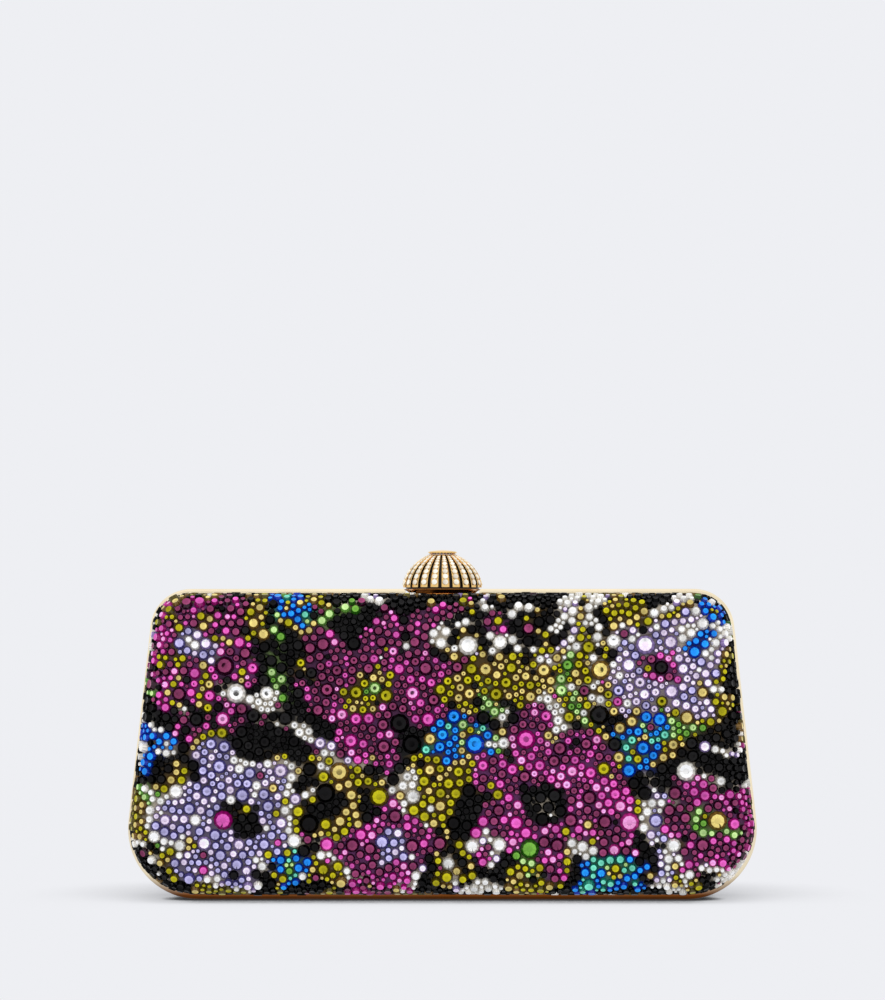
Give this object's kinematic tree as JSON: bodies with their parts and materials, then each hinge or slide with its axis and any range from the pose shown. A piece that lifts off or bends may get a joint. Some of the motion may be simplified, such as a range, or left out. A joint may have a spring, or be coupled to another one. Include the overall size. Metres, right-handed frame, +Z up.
{
  "type": "evening clutch",
  "caption": "Hard-case evening clutch: two crystal-set half shells in slim gilt frames, hinged at the bottom, with a domed push knob that works a hook latch.",
  "frame": {"origin": "middle of the bottom, on the plane where the two halves part", "axes": "+X to the right seen from the front, front towards -Y, +Z up"},
  "size_m": [0.2, 0.0448, 0.1112],
  "materials": {
    "gilt": "polished gilt",
    "crystal": "foiled crystals set close together, in many colours",
    "cloth": "printed cloth under the crystals",
    "shell": "moulded",
    "lining": "suede",
    "enamel": "black enamel",
    "steel": "bright"
  },
  "bodies": {
    "back_half": {"back_frame": "gilt", "back_pave": "crystal", "back_cover": "cloth", "back_shell": "shell", "back_lining": "lining", "closing_lip_left": "gilt", "closing_lip_right": "gilt", "hinge_leaf_back_left": "gilt", "hinge_leaf_back_right": "gilt", "hinge_pin_left": "steel", "hinge_pin_right": "steel", "latch_bracket": "steel", "bracket_screw_left": "steel", "bracket_screw_right": "steel", "stem_bush": "gilt", "hook_pin": "steel", "hook_spring": "steel", "knob_spring": "steel"},
    "front_half": {"front_frame": "gilt", "front_pave": "crystal", "front_cover": "cloth", "front_shell": "shell", "front_lining": "lining", "hinge_leaf_front_left": "gilt", "hinge_leaf_front_right": "gilt", "strike_plate": "steel", "strike_screw_left": "steel", "strike_screw_right": "steel"},
    "knob": {"knob_base": "gilt", "knob_enamel": "enamel", "knob_ribs": "gilt", "knob_cap": "gilt", "knob_stem": "steel", "stem_clip": "steel"},
    "hook": {"latch_hook": "steel"}
  },
  "joints": [
    {"name": "case_hinge", "type": "hinge", "parent": "back_half", "child": "front_half", "pos_m": [0, 0, 0.0022], "axis": [1, 0, 0], "range_deg": [0, 90]},
    {"name": "knob_press", "type": "slide", "parent": "back_half", "child": "knob", "axis": [0, 0, -1], "range_m": [0, 0.001], "stiffness_N_per_m": 600, "springref_m": -0.002, "deforming": ["knob_spring"]},
    {"name": "hook_pivot", "type": "hinge", "parent": "back_half", "child": "hook", "pos_m": [0, 0.0032, 0.0875], "axis": [1, 0, 0], "range_deg": [0, 20.1], "deforming": ["hook_spring"]}
  ],
  "couplings": [
    {"joint": "hook_pivot", "follows": "knob_press", "rad_per_m": 350}
  ]
}
